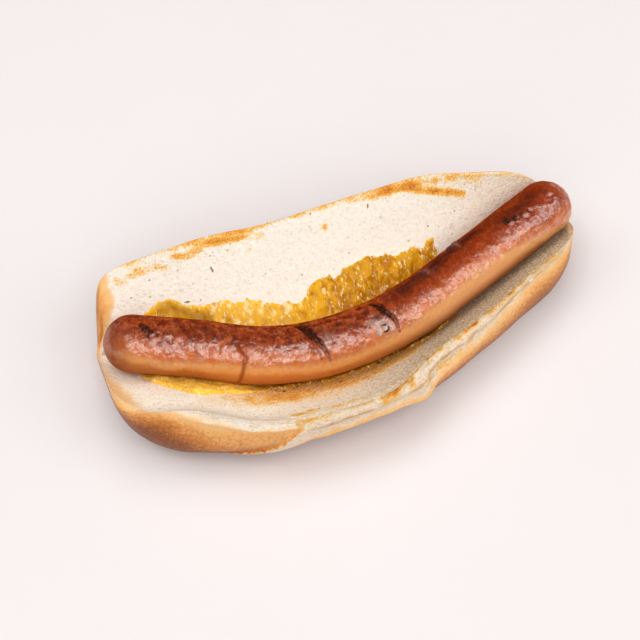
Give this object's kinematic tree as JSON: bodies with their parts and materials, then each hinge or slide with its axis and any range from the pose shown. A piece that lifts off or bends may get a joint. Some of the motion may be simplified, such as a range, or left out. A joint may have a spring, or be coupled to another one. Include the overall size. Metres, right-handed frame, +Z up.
{
  "type": "hot dog",
  "caption": "Grilled sausage lying bent in a split, opened bun, on a bed of mustard squeezed out along both cut faces.",
  "frame": {"origin": "centre of the bounding box's footprint, on the ground", "axes": "+X along the bun, +Y towards the high half of the opened bun, +Z up"},
  "size_m": [0.1954, 0.0902, 0.0391],
  "materials": {
    "bun": "matt, fine pored crumb with a golden brown crust",
    "sausage": "glossy grilled skin, dark on top and tan on the low side",
    "mustard": "glossy, wet and bumpy"
  },
  "bodies": {
    "root": {"bun": "bun", "sausage": "sausage", "mustard": "mustard"}
  },
  "joints": []
}
